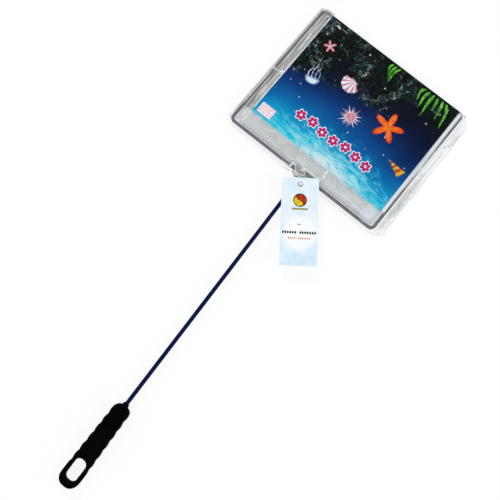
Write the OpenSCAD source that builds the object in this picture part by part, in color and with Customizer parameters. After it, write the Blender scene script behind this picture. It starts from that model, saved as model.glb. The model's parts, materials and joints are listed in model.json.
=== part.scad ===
// Aquarium fish net with a wire hoop, a sleeved wire handle and a ribbed grip, in its clear
// sales bag with a printed card and a hang tag.
// +Y runs from the grip to the head, +Z is up, and the net lies flat on z = 0.
// The origin is the middle of the hoop, on the surface that the net lies on.

/* [Hoop and hem] */
// Outside width of the hoop, over its hem
hoop_w = 152; // [100:1:260]
// Outside depth of the hoop, over its hem
hoop_d = 130; // [80:1:220]
// Bend radius of the wire at the corners and at the shoulders, to its centre line
bend_r = 4; // [3:0.5:8]
// Diameter of the steel wire
wire_d = 1.2; // [0.8:0.1:1.4]
// Diameter of the hem that is sewn round the wire
hem_d = 2.3; // [1.9:0.1:3.2]
// Width of the flat hem band inside the round hem
hem_band = 3.4; // [2:0.1:6]
// Thickness of the flat hem band
hem_t = 0.6; // [0.4:0.1:0.9]
// Length of the near side that the round hem leaves open for the handle
hem_gap = 25; // [20:1:40]
// Room between the wire and the hem round it
hem_fit = 0.03; // [0.01:0.01:0.1]

/* [Stitches] */
// Distance from one stitch to the next
stitch_pitch = 5; // [3:0.5:10]
// Length of one stitch
stitch_l = 2.6; // [1:0.1:2.8]
// Width of one stitch
stitch_w = 0.5; // [0.3:0.05:0.8]
// Height of a stitch over the hem band
stitch_t = 0.15; // [0.1:0.05:0.3]

/* [Net pouch] */
// Thickness of the netting
net_t = 0.6; // [0.3:0.1:0.8]
// Room between the round hem and the pouch's walls
net_inset = 0.8; // [0.3:0.1:1.5]
// Room under the folded pouch
net_lift = 0.3; // [0.2:0.1:0.6]

/* [Handle] */
// Length from the hoop's near side to the far end of the grip
reach = 307; // [220:1:500]
// Diameter of the plastic sleeve over the two wire ends
sleeve_d = 3.4; // [3:0.1:3.6]
// Distance between the centre lines of the two wire ends
wire_pitch = 1.3; // [1.3:0.05:1.4]
// Room between the wire ends and the sleeve
sleeve_fit = 0.03; // [0.01:0.01:0.05]
// Angle of the handle off square to the hoop, in degrees
handle_lean = 2.2; // [0:0.1:4]
// Distance of the handle's foot from the middle of the hoop
handle_off = 1.7; // [0:0.1:4]
// Distance from the hoop's near side to the start of the sleeve
sleeve_start = 6; // [6:0.5:12]

/* [Grip] */
// Length of the grip
grip_l = 75; // [70:1:110]
// Width of the grip at its hanging loop
grip_w = 17; // [16:0.5:24]
// Width of the grip at its upper end
grip_top_w = 14.2; // [12:0.1:16]
// Thickness of the grip, which rests on the table
grip_t = 12; // [11:0.5:16]
// Thickness of the hanging loop
loop_t = 7; // [5:0.5:10]
// Radius of the grip's long edges
grip_edge_r = 4.5; // [2:0.5:5]
// Radius of the grip's upper end
grip_dome_r = 6; // [4:0.5:7]
// Distance from one dent to the next
dent_pitch = 8.6; // [7:0.1:9]
// Distance from the grip's upper end to its first dent
dent_start = 11.4; // [11:0.1:13]
// Least distance from the last dent to the grip's far end
dent_stop = 20; // [14:0.5:30]
// Depth of a dent
dent_depth = 0.8; // [0.3:0.1:1.2]
// Width of the hanging slot
slot_w = 9.8; // [8:0.1:11]
// Length of the hanging slot
slot_l = 18.5; // [12:0.5:22]
// Radius of the slot's corners
slot_r = 4.2; // [2:0.1:4.5]
// Wall between the slot and the grip's far end
slot_wall = 6; // [4:0.5:9]
// Diameter of the collar round the sleeve
collar_d = 5.2; // [4:0.1:6]
// Length of the collar that stands out of the grip
collar_l = 2.2; // [0.5:0.1:4]
// Depth that the handle goes into the grip
grip_depth = 30; // [15:1:40]
// Room between the sleeve and the grip's bore
grip_fit = 0.03; // [0.01:0.01:0.1]

/* [Clear bag] */
// Thickness of the film
film_t = 0.3; // [0.1:0.05:0.4]
// Room between the hoop's left side and the bag
bag_left = 1.5; // [0.5:0.1:6]
// Room between the hoop's right side and the bag
bag_right = 1.2; // [0.5:0.1:6]
// Room between the hoop's far side and the bag
bag_far = 1.4; // [0.5:0.1:6]
// Room between the hoop's near side and the bag's gathered mouth
bag_near = 0.6; // [0.3:0.1:2]
// Width of the welded edge along the left side
weld_w = 1.2; // [0.5:0.1:4]
// Width of the loose flap along the right side
flap_w = 7.5; // [5:0.5:20]
// Diameter of the air hole through the flap
vent_d = 2.4; // [1:0.1:4]
// Distance from the hoop's far side to the air hole
vent_far = 30; // [10:1:100]
// Room between the film and the card
film_gap = 0.3; // [0.2:0.05:0.6]
// Outside radius of the neck where the bag is gathered
neck_r = 3.65; // [3:0.05:4]
// Wall of the gathered neck
neck_t = 1; // [0.6:0.1:1.2]
// Half the width of the funnel where it leaves the bag's mouth
funnel_w = 11; // [6:0.5:12]
// Distance from the hoop's near side to the narrow end of the funnel
funnel_l = 4.6; // [4:0.1:6]
// Distance from the hoop's near side to the end of the gathered film
neck_end = 14; // [12:0.5:20]

/* [Printed card] */
// Thickness of the card
card_t = 0.4; // [0.2:0.05:0.6]
// Distance from the hoop's left side to the card's left edge
card_left = 10.7; // [2:0.1:20]
// Distance from the hoop's right side to the card's right edge
card_right = 5.3; // [2:0.1:20]
// Distance from the hoop's far side to the card's far edge
card_far = 1; // [0.5:0.1:4]
// Distance from the hoop's near side to the card's near edge
card_near = 17; // [2:0.5:30]
// Room between the hem and the card
card_gap = 0.35; // [0.2:0.05:0.6]
// Width of the paper label
label_w = 13.5; // [8:0.5:30]
// Depth of the paper label
label_d = 9.6; // [6:0.1:20]
// Thickness of the paper label
label_t = 0.15; // [0.1:0.05:0.2]
// Distance of the label from the card's left edge
label_x = 2.8; // [1:0.1:20]
// Distance of the label from the card's near edge
label_y = 3.5; // [1:0.1:20]

/* [Hang tag and tie] */
// Width of the tag
tag_w = 30.5; // [20:0.5:50]
// Length of the tag
tag_l = 73; // [40:1:90]
// Thickness of the tag
tag_t = 0.4; // [0.2:0.05:0.6]
// Distance from the tag's upper edge to its hole
tag_hole_y = 5.6; // [4:0.1:10]
// Angle of the tag off the handle, in degrees
tag_turn = 34.4; // [0:0.1:90]
// Radius of the eyelet's bore
eyelet_r = 1.05; // [0.8:0.05:1.3]
// Wall of the eyelet's barrel
eyelet_wall = 0.3; // [0.2:0.05:0.5]
// Width of the eyelet's flange beyond its barrel
eyelet_flange = 0.55; // [0.3:0.05:1]
// Thickness of the eyelet's flange
eyelet_t = 0.25; // [0.15:0.05:0.4]
// Distance from the hoop's near side to the middle of the tie
tie_y = 7.5; // [6.5:0.1:9]
// Width of the tie's band
tie_w = 2.4; // [1.5:0.1:3]
// Thickness of the tie's band
tie_t = 0.6; // [0.4:0.1:1]
// Room between the gathered neck and the tie
tie_fit = 0.15; // [0.1:0.05:0.3]
// Distance of the tie's post from the handle's centre line
post_off = 4.2; // [3.8:0.1:5]
// Radius of the post's shoulder, under the tag
post_r = 1.5; // [1.3:0.1:1.8]
// Room between the post's pin and the eyelet
pin_fit = 0.08; // [0.03:0.01:0.1]
// Radius of the pin's head
head_r = 1.4; // [1.3:0.05:1.6]
// Thickness of the pin's head
head_t = 0.6; // [0.3:0.1:1.2]
// Room above and below the eyelet on the post
tag_play = 0.25; // [0.1:0.05:0.4]

/* [Hidden] */

$fn = 64;
// Overrun of every cut
cut = 1;
// Overlap of solids that are joined into one piece
weld = 0.05;
// Size of the wire at its knees, as a share of its diameter
knee_share = 1.08;
// Steps in one quarter of a round outline
arc_steps = 6;
// Steps along one dent pitch
dent_steps = 8;

// Heights, from the table upwards
axis_z = grip_t/2;
band_z = axis_z - hem_t/2;
pouch_z = film_t + net_lift;
card_z = axis_z + hem_d/2 + card_gap;
label_z = card_z + card_t;
film_z = label_z + label_t + film_gap;
film_top = film_z + film_t;

// The hoop's sides, on the wire's centre line and on the outside
side_x = hoop_w/2 - hem_d/2;
side_y = hoop_d/2 - hem_d/2;
near_y = -hoop_d/2;
far_y = hoop_d/2;

// The flat hem band and the pouch below it
hoop_r = bend_r + hem_d/2;
band_out_in = hem_d/2;
band_in_in = hem_d + hem_band;
pouch_in = hem_d + net_inset;
stitch_in = hem_d + (hem_band + net_inset)/2;

// The bag's walls
bag_x0 = -hoop_w/2 - bag_left;
bag_x1 = hoop_w/2 + bag_right;
bag_y1 = far_y + bag_far;
bag_y0 = near_y - bag_near;

// The card's size and its near left corner
card_w = hoop_w - card_left - card_right;
card_d = hoop_d - card_far - card_near;
card_x0 = card_left - hoop_w/2;
card_y0 = near_y + card_near;

// Dents that fit along one side of the grip
dents = 1 + floor((grip_l - dent_start - dent_stop)/dent_pitch);

// The tag and its tie, along the handle
tie_r = neck_r + tie_fit;
tag_z = axis_z + neck_r + tie_fit + tie_t + tag_play + eyelet_t + tag_play;
pin_r = eyelet_r - pin_fit;

// A point on the handle's centre line, at a distance from the hoop's near side
function handle_x(s) = handle_off + s*sin(handle_lean);
function handle_y(s) = near_y - s*cos(handle_lean);

// Places children in the handle's own frame: x across it, y from the head to the grip, and
// z upwards from its centre line
module on_handle(s) {
    translate([handle_x(s), handle_y(s), axis_z])
        rotate([0, 0, handle_lean])
            mirror([0, 1, 0])
                children();
}

// A rectangle with round corners, centred
module round_rect(w, d, r) {
    hull_w = w/2 - r;
    hull_d = d/2 - r;
    square([w, 2*hull_d], center = true);
    square([2*hull_w, d], center = true);
    for (x = [-hull_w, hull_w], y = [-hull_d, hull_d])
        translate([x, y])
            circle(r);
}

// The hoop's outline, drawn inwards from the outside of its hem
module hoop_shape(inset) {
    round_rect(hoop_w - 2*inset, hoop_d - 2*inset, max(hoop_r - inset, bend_r/4));
}

// The turn from one direction to the next, in degrees, left turns positive
function turn_of(a, b) =
    let (c = a[0]*b[1] - a[1]*b[0], d = a[0]*b[0] + a[1]*b[1])
    atan2(c, d);
function unit(v) = v/norm(v);

// A round bar along points in the wire's plane, with a bend of radius r at each inner point
module bent_bar(points, d, r) {
    count = len(points);
    legs = [for (i = [0:count - 2]) unit(points[i + 1] - points[i])];
    turns = [for (i = [1:count - 2]) turn_of(legs[i - 1], legs[i])];
    setback = concat([0], [for (t = turns) r*tan(abs(t)/2)], [0]);
    for (i = [0:count - 2]) {
        run = norm(points[i + 1] - points[i]) - setback[i] - setback[i + 1];
        start = points[i] + legs[i]*setback[i];
        translate(start)
            rotate([0, 0, atan2(legs[i][1], legs[i][0])])
                rotate([0, 90, 0])
                    cylinder(d = d, h = run);
    }
    for (i = [1:count - 2]) {
        t = turns[i - 1];
        side = sign(t);
        start = points[i] - legs[i - 1]*setback[i];
        across = [-legs[i - 1][1], legs[i - 1][0]]*side;
        centre = start + across*r;
        from = atan2(-across[1], -across[0]);
        translate(centre)
            rotate([0, 0, side > 0 ? from : from + t])
                rotate_extrude(angle = abs(t))
                    translate([r, 0])
                        circle(d = d);
    }
}

// Where a wire end turns into the handle's lean, just past its shoulder
knee_s = bend_r + wire_d;
function knee(side) = [
    handle_x(knee_s) + side*wire_pitch/2*cos(handle_lean),
    handle_y(knee_s) + side*wire_pitch/2*sin(handle_lean)
];
// The corners of the hoop's wire, from one knee round the hoop to the other
hoop_path = [
    knee(-1), [knee(-1)[0], -side_y],
    [-side_x, -side_y], [-side_x, side_y], [side_x, side_y], [side_x, -side_y],
    [knee(1)[0], -side_y], knee(1)
];
wire_end = reach - grip_l + grip_depth;

module hoop_bar(d) {
    translate([0, 0, axis_z])
        bent_bar(hoop_path, d, bend_r);
}

// One steel wire, bent into the hoop, with both ends side by side down the handle
module frame_wire() {
    color("lightsteelblue") {
        hoop_bar(wire_d);
        for (side = [-1, 1])
            on_handle(knee_s)
                translate([side*wire_pitch/2, 0, 0]) {
                    sphere(d = wire_d*knee_share);
                    rotate([-90, 0, 0])
                        cylinder(d = wire_d, h = wire_end - knee_s);
                }
    }
}

// Plastic sleeve over both wire ends
module handle_sleeve() {
    bore_r = wire_d/2 + sleeve_fit;
    color("midnightblue")
        on_handle(sleeve_start)
            rotate([-90, 0, 0])
                linear_extrude(wire_end - sleeve_start)
                    difference() {
                        circle(d = sleeve_d);
                        for (x = [-wire_pitch/2, wire_pitch/2])
                            translate([x, 0])
                                circle(bore_r);
                        square([wire_pitch, 2*bore_r], center = true);
                    }
}

// Half the grip's width at a distance from its upper end, dents left out
function grip_half(s) =
    let (from = grip_dome_r, to = grip_l - grip_w)
    let (share = min(max((s - from)/(to - from), 0), 1))
    (grip_top_w + (grip_w - grip_top_w)*share)/2;
// Depth of the dents at a distance from the grip's upper end
function dent_at(s) =
    let (turns = (s - dent_start)/dent_pitch)
    turns < -0.5 || turns > dents - 0.5 ? 0 : dent_depth*(1 - abs(sin(180*turns)));

// One side of the grip's outline, from its upper end to its far end
dome_side = [
    for (i = [0:arc_steps])
        let (a = 90 - 90*i/arc_steps)
        [grip_top_w/2 - grip_dome_r*(1 - cos(a)), grip_dome_r*(1 - sin(a))]
];
dent_side = [
    for (i = [0:dents*dent_steps])
        let (s = dent_start + dent_pitch*(i/dent_steps - 1/2))
        [grip_half(s) - dent_at(s), s]
];
loop_side = [
    for (i = [0:arc_steps])
        let (a = 90*i/arc_steps)
        [grip_w/2*cos(a), grip_l - grip_w/2*(1 - sin(a))]
];
grip_side = concat(dome_side, dent_side, loop_side);
function flipped(points) = [for (i = [len(points) - 1:-1:0]) [-points[i][0], points[i][1]]];

// Side view of the grip: thick where it is held and thinner round the slot
module grip_profile() {
    slot_start = grip_l - slot_wall - slot_l;
    thick_end = slot_start - (grip_t - loop_t)/2;
    translate([0, -grip_t/2])
        translate([grip_dome_r, 0])
            square([thick_end - 2*grip_dome_r, grip_t]);
    for (s = [grip_dome_r, thick_end - grip_dome_r])
        translate([s, 0])
            circle(min(grip_dome_r, grip_t/2));
    translate([thick_end - 2*grip_dome_r, -loop_t/2])
        square([grip_l - loop_t/2 - thick_end + 2*grip_dome_r, loop_t]);
    translate([grip_l - loop_t/2, 0])
        circle(loop_t/2);
}

// Soft black grip with dents along both sides and a slot to hang it by
module grip() {
    slot_mid = grip_l - slot_wall - slot_l/2;
    color([0.07, 0.07, 0.07])
        on_handle(reach - grip_l)
            difference() {
                union() {
                    intersection() {
                        linear_extrude(grip_t, center = true)
                            polygon(concat(grip_side, flipped(grip_side)));
                        rotate([-90, 0, 0])
                            linear_extrude(grip_l)
                                round_rect(grip_w, grip_t, grip_edge_r);
                        rotate([90, 0, 90])
                            linear_extrude(grip_w, center = true)
                                grip_profile();
                    }
                    translate([0, -collar_l, 0])
                        rotate([-90, 0, 0])
                            cylinder(d = collar_d, h = collar_l + grip_dome_r);
                }
                linear_extrude(grip_t + 2*cut, center = true)
                    translate([0, slot_mid])
                        round_rect(slot_w, slot_l, slot_r);
                translate([0, -collar_l - cut, 0])
                    rotate([-90, 0, 0])
                        cylinder(r = sleeve_d/2 + grip_fit, h = grip_depth + collar_l + cut);
            }
}

// Tube of grey-violet thread round the wire, with the flat band that the netting is sewn to
module hem_binding() {
    color([0.44, 0.42, 0.5])
        difference() {
            union() {
                translate([0, 0, axis_z])
                    bent_bar([
                        [handle_off - hem_gap/2, -side_y],
                        [-side_x, -side_y], [-side_x, side_y],
                        [side_x, side_y], [side_x, -side_y],
                        [handle_off + hem_gap/2, -side_y]
                    ], hem_d, bend_r);
                translate([0, 0, band_z])
                    linear_extrude(hem_t)
                        difference() {
                            hoop_shape(band_out_in);
                            hoop_shape(band_in_in);
                        }
            }
            hoop_bar(wire_d + 2*hem_fit);
        }
}

// One straight row of stitches on the hem band, centred on the origin
module stitch_row(run) {
    count = floor((run - stitch_l)/stitch_pitch);
    for (i = [0:count])
        translate([(i - count/2)*stitch_pitch - stitch_l/2, -stitch_w/2, 0])
            cube([stitch_l, stitch_w, stitch_t]);
}

// Thread along the middle of the hem band
module hem_stitching() {
    row_x = hoop_w/2 - stitch_in;
    row_y = hoop_d/2 - stitch_in;
    color("gainsboro")
        translate([0, 0, band_z + hem_t]) {
            for (y = [-row_y, row_y])
                translate([0, y, 0])
                    stitch_row(2*row_x - 2*bend_r);
            for (x = [-row_x, row_x])
                translate([x, 0, 0])
                    rotate([0, 0, 90])
                        stitch_row(2*row_y - 2*bend_r);
        }
}

// White netting, folded flat under the hoop
module net_pouch() {
    color([0.86, 0.88, 0.88])
        difference() {
            translate([0, 0, pouch_z])
                linear_extrude(band_z - pouch_z)
                    hoop_shape(pouch_in);
            translate([0, 0, pouch_z + net_t])
                linear_extrude(band_z - pouch_z)
                    hoop_shape(pouch_in + net_t);
        }
}

// Outline of the bag with its welds and its flap, one film thick
module bag_sheet() {
    difference() {
        translate([bag_x0 - film_t - weld_w, bag_y0, 0])
            cube([
                bag_x1 - bag_x0 + 2*film_t + weld_w + flap_w,
                bag_y1 - bag_y0 + film_t + weld_w,
                film_t
            ]);
        translate([bag_x1 + film_t + flap_w/2, far_y - vent_far, -cut])
            cylinder(d = vent_d, h = film_t + 2*cut);
    }
}

// Back sheet of the clear bag, which the net lies on
module bag_back_film() {
    color([0.9, 0.93, 0.95, 0.4])
        bag_sheet();
}

// Front sheet of the clear bag: flat over the card, and down round three sides to its welds
module bag_front_film() {
    color([0.92, 0.95, 0.97, 0.4])
        difference() {
            union() {
                translate([bag_x0 - film_t, bag_y0, film_t])
                    cube([bag_x1 - bag_x0 + 2*film_t, bag_y1 - bag_y0 + film_t, film_z]);
                translate([0, 0, film_t])
                    bag_sheet();
            }
            translate([bag_x0, bag_y0 - cut, 0])
                cube([bag_x1 - bag_x0, bag_y1 - bag_y0 + cut, film_z]);
        }
}

// The funnel from the bag's mouth to its neck, drawn inwards from its outside
module funnel(inset) {
    y0 = bag_y0 - film_t;
    y1 = handle_y(funnel_l);
    wide = funnel_w - inset;
    narrow = neck_r + weld - inset;
    intersection() {
        linear_extrude(film_top + neck_r)
            polygon([
                [handle_off - wide, y0 + film_t],
                [handle_off - wide, y0],
                [handle_x(funnel_l) - narrow, y1 + inset],
                [handle_x(funnel_l) + narrow, y1 + inset],
                [handle_off + wide, y0],
                [handle_off + wide, y0 + film_t]
            ]);
        translate([handle_off - funnel_w, 0, 0])
            rotate([90, 0, 90])
                linear_extrude(2*funnel_w)
                    polygon([
                        [y0 + film_t + inset, inset],
                        [y0, inset],
                        [y1, axis_z - narrow],
                        [y1, axis_z + narrow],
                        [y0, film_top - inset],
                        [y0 + film_t + inset, film_top - inset]
                    ]);
    }
}

// Mouth of the bag: flat along the near side, drawn in by a funnel, and gathered round the
// handle
module bag_mouth() {
    inner_r = neck_r - neck_t;
    neck_s = funnel_l - film_t;
    color([0.85, 0.88, 0.88, 0.5])
        difference() {
            union() {
                translate([bag_x0 - film_t, bag_y0 - film_t, 0])
                    cube([bag_x1 - bag_x0 + 2*film_t, film_t, film_top]);
                funnel(0);
                on_handle(neck_s)
                    rotate([-90, 0, 0])
                        cylinder(r = neck_r, h = neck_end - neck_s);
            }
            funnel(film_t);
            on_handle(neck_s - neck_t)
                rotate([-90, 0, 0])
                    cylinder(r = inner_r, h = neck_end + cut - neck_s + neck_t);
        }
}

// Printed card between the hem and the front film
module insert_card() {
    color([0.05, 0.35, 0.7])
        translate([card_x0, card_y0, card_z])
            cube([card_w, card_d, card_t]);
}

// Paper label in the card's near corner
module card_label() {
    color("white")
        translate([card_x0 + label_x, card_y0 + label_y, label_z])
            cube([label_w, label_d, label_t]);
}

// White tie round the gathered neck, with the post that the tag turns on
module neck_tie() {
    shoulder_h = tag_z - axis_z - eyelet_t - tag_play;
    head_z = tag_z - axis_z + tag_t + eyelet_t + tag_play;
    color("whitesmoke")
        on_handle(tie_y)
            difference() {
                union() {
                    rotate([90, 0, 0])
                        cylinder(r = tie_r + tie_t, h = tie_w, center = true);
                    translate([post_off, 0, 0]) {
                        cylinder(r = post_r, h = shoulder_h);
                        cylinder(r = pin_r, h = head_z + weld);
                        translate([0, 0, head_z])
                            cylinder(r = head_r, h = head_t);
                    }
                }
                rotate([90, 0, 0])
                    cylinder(r = tie_r, h = tie_w + 4*post_r, center = true);
            }
}

// Places children at the tag's hole, with y along the tag from its hole to its far end
module on_tag() {
    on_handle(tie_y)
        translate([post_off, 0, tag_z - axis_z])
            rotate([0, 0, -tag_turn])
                children();
}

// Pale blue tag, which turns about its eyelet
module hang_tag() {
    color([0.86, 0.93, 0.97])
        on_tag()
            difference() {
                translate([-tag_w/2, -tag_hole_y, 0])
                    cube([tag_w, tag_l, tag_t]);
                translate([0, 0, -cut])
                    cylinder(r = eyelet_r + eyelet_wall, h = tag_t + 2*cut);
            }
}

// Pink eyelet in the tag's hole
module tag_eyelet() {
    barrel_r = eyelet_r + eyelet_wall;
    color("palevioletred")
        on_tag()
            rotate_extrude()
                polygon([
                    [eyelet_r, -eyelet_t],
                    [barrel_r + eyelet_flange, -eyelet_t],
                    [barrel_r + eyelet_flange, 0],
                    [barrel_r, 0],
                    [barrel_r, tag_t],
                    [barrel_r + eyelet_flange, tag_t],
                    [barrel_r + eyelet_flange, tag_t + eyelet_t],
                    [eyelet_r, tag_t + eyelet_t]
                ]);
}

frame_wire();
handle_sleeve();
grip();
hem_binding();
hem_stitching();
net_pouch();
bag_back_film();
bag_front_film();
bag_mouth();
insert_card();
card_label();
neck_tie();
hang_tag();
tag_eyelet();
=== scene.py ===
import functools
import json
import math

import bpy
import numpy as np
from mathutils import Euler, Matrix, Vector, noise


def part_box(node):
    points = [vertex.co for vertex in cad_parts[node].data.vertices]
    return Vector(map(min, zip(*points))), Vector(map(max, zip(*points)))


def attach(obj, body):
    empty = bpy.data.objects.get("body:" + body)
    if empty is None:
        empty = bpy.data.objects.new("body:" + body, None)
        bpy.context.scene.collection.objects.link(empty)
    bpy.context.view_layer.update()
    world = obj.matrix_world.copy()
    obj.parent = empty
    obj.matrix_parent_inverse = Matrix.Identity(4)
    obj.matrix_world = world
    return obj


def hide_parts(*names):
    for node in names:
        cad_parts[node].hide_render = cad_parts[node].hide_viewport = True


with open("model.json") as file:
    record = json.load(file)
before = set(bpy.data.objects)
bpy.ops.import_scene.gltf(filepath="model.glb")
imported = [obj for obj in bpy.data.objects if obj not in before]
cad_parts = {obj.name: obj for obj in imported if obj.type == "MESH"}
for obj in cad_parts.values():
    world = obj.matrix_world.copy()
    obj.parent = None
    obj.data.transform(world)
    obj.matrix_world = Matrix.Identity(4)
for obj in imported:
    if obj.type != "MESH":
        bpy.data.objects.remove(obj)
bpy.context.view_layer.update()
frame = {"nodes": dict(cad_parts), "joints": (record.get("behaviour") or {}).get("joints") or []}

# Looks of an aquarium fish net in its clear sales bag, with a printed card and a hang tag.
# Lengths below are in millimetres, and MM turns them into the scene's metres.

MM = 0.001
JOINTS = {joint["name"]: joint for joint in frame["joints"]}


def box_mm(node):
    """Lowest and highest corner of a node, in millimetres."""
    low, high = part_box(node)
    return low/MM, high/MM


# The hoop over its hem, the bend of its corners, the hem's gap at the handle, and the flat band,
# which ends at an inset from the hoop's outside
HEM_LOW, HEM_HIGH = box_mm("hem_binding")
HALF_W = HEM_HIGH.x
HALF_D = HEM_HIGH.y
HEM_R = (HEM_HIGH.z - HEM_LOW.z)/2
BEND_R = 4
HEM_GAP = 25
BAND_T = 0.6
BAND_END = 5.7
AXIS_Z = HEM_HIGH.z - HEM_R
BAND_TOP = AXIS_Z + BAND_T/2

# The handle's own directions and its foot, from the joints that slide and turn on it. The post
# stands beside the handle, at TIE_S from the foot
ALONG = Vector(JOINTS["tie_slide"]["axis"])
ACROSS = Vector((-ALONG.y, ALONG.x, 0))
POST = Vector(JOINTS["tag_swing"]["pos_m"])/MM
POST_OFF = 4.2
TIE_S = 7.5
FOOT = Vector((POST.x, POST.y, AXIS_Z)) - POST_OFF*ACROSS - TIE_S*ALONG

# The tag's own directions, from its hole to its far end
TAG_TURN = math.radians(34.4)
TAG_Y = math.cos(TAG_TURN)*ALONG + math.sin(TAG_TURN)*ACROSS
TAG_X = math.cos(TAG_TURN)*ACROSS - math.sin(TAG_TURN)*ALONG
TAG_TOP = box_mm("hang_tag")[1].z

# The card and how far it shifts along Y
CARD_LOW, CARD_HIGH = box_mm("insert_card")
CARD_PLAY = [move/MM for move in JOINTS["card_shift"]["range_m"]]

# The bag: its room round the hoop, the height of its welds, its flap and the flap's air hole
BAG_LOW, BAG_HIGH = box_mm("bag_front_film")
BAG_ROOM = 1.3
WELD_Z = 0.42
FLAP_OFF = 1.5
FLAP_W = 7.5
VENT_R = 1.2
VENT_FAR = 30
VENT = Vector((HALF_W + FLAP_OFF + FLAP_W/2, HALF_D - VENT_FAR))


# Camera, floor and light

CAMERA_AT = (55.66, -224.14, 561.11)
CAMERA_TURN = (9.723, -1.666, 39.107)
CAMERA_LENS = 50
# What the lamps point at, in metres
LIT = Vector((0, -0.1, 0))


def add_object(name, data):
    thing = bpy.data.objects.new(name, data)
    bpy.context.scene.collection.objects.link(thing)
    return thing


def make_camera():
    data = bpy.data.cameras.new("camera")
    data.lens = CAMERA_LENS
    data.clip_start = 0.01
    camera = add_object("camera", data)
    camera.location = Vector(CAMERA_AT)*MM
    camera.rotation_euler = Euler([math.radians(a) for a in CAMERA_TURN])
    bpy.context.scene.camera = camera


def make_floor():
    """A white floor that glows a little where it is seen, also by rays that gloss or glass sends
    on, and keeps the object's shadow."""
    half, below, glow_share = 3, -0.0004, 0.88
    mesh = bpy.data.meshes.new("floor")
    corners = [(x, y, below) for x, y in bar_outline(-half, -half, half, half)]
    mesh.from_pydata(corners, [], [(0, 1, 2, 3)])
    floor = add_object("floor", mesh)
    material = bpy.data.materials.new("floor")
    material.use_nodes = True
    look = Nodes(material.node_tree)
    look.tree.nodes.clear()
    path = look.node("LightPath").outputs
    seen = path["Is Camera Ray"]
    for name in ("Is Glossy Ray", "Is Transmission Ray"):
        seen = look.math("MAXIMUM", seen, path[name])
    diffuse = look.node("BsdfDiffuse", {"Color": (0.9, 0.9, 0.9)})
    surface = look.blend(look.product(seen, glow_share), diffuse, look.node("Emission"))
    look.node("OutputMaterial", {"Surface": surface})
    mesh.materials.append(material)


def make_world():
    """Plain even light, with a white background where it is seen."""
    world = bpy.data.worlds.new("studio")
    world.use_nodes = True
    bpy.context.scene.world = world
    look = Nodes(world.node_tree)
    look.tree.nodes.clear()
    fill = look.node("Background", {"Color": (0.96, 0.98, 1), "Strength": 0.62})
    white = look.node("Background", {"Color": (1, 1, 1)})
    seen = look.node("LightPath").outputs["Is Camera Ray"]
    look.node("OutputWorld", {"Surface": look.blend(seen, fill, white)})


def make_lamp(name, place, size, watts):
    """An area lamp. Its place and its size are in metres."""
    data = bpy.data.lights.new(name, "AREA")
    data.shape = "RECTANGLE"
    data.size, data.size_y = size
    data.energy = watts
    lamp = add_object(name, data)
    lamp.location = place
    lamp.rotation_euler = (LIT - Vector(place)).to_track_quat("-Z", "Y").to_euler()


def make_studio():
    make_camera()
    make_floor()
    make_world()
    make_lamp("key_lamp", (-0.9, 0.5, 1.1), (0.5, 0.12), 7)
    make_lamp("side_lamp", (1.0, 0.2, 0.9), (0.12, 0.6), 5)
    make_lamp("near_lamp", (0.1, -1.2, 1.0), (0.5, 0.15), 4)
    bpy.context.scene.view_settings.view_transform = "Standard"


# Material nodes

class Nodes:
    """Adds nodes to a tree by short calls. A value is a number, a colour or a node's output."""

    def __init__(self, tree):
        self.tree = tree

    def node(self, kind, values=None, **settings):
        """A new node, with values for some of its inputs and with some of its settings."""
        node = self.tree.nodes.new("ShaderNode" + kind)
        for name, setting in settings.items():
            setattr(node, name, setting)
        for name, value in (values or {}).items():
            self.link(value, node.inputs[name])
        return node

    def link(self, value, target):
        if isinstance(value, bpy.types.NodeSocket):
            self.tree.links.new(value, target)
        else:
            target.default_value = (*value, 1) if target.type == "RGBA" else value

    def blend(self, share, first, second):
        """The first shader, with a share of the second over it."""
        parts = {0: share, 1: first.outputs[0], 2: second.outputs[0]}
        return self.node("MixShader", parts).outputs[0]

    def math(self, operation, first, second=0, clamp=False):
        node = self.node("Math", {0: first, 1: second}, operation=operation, use_clamp=clamp)
        return node.outputs[0]

    def total(self, *terms):
        return functools.reduce(lambda a, b: self.math("ADD", a, b), terms)

    def product(self, *terms):
        return functools.reduce(lambda a, b: self.math("MULTIPLY", a, b), terms)

    def less(self, first, second):
        return self.math("SUBTRACT", first, second)

    def length(self, x, y):
        """The length of a vector in a plane."""
        return self.math("SQRT", self.total(self.product(x, x), self.product(y, y)))

    def spread(self, value, start, end, low=0, high=1):
        """Takes a value from the range of start to end to that of low to high."""
        ranges = {"From Min": start, "From Max": end, "To Min": low, "To Max": high}
        return self.node("MapRange", {"Value": value, **ranges}).outputs[0]

    def ramp(self, factor, *stops):
        """A scale of colours or of shares. Each stop is its place and its colour or share."""
        node = self.node("ValToRGB", {"Fac": factor})
        elements = node.color_ramp.elements
        while len(elements) < len(stops):
            elements.new(0.5)
        for element, (place, value) in zip(elements, stops):
            element.position = place
            element.color = (*value, 1) if isinstance(value, tuple) else (value, value, value, 1)
        return node.outputs["Color"]

    def mix(self, factor, first, second, blend="MIX"):
        values = {"Fac": factor, "Color1": first, "Color2": second}
        return self.node("MixRGB", values, blend_type=blend).outputs["Color"]


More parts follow.
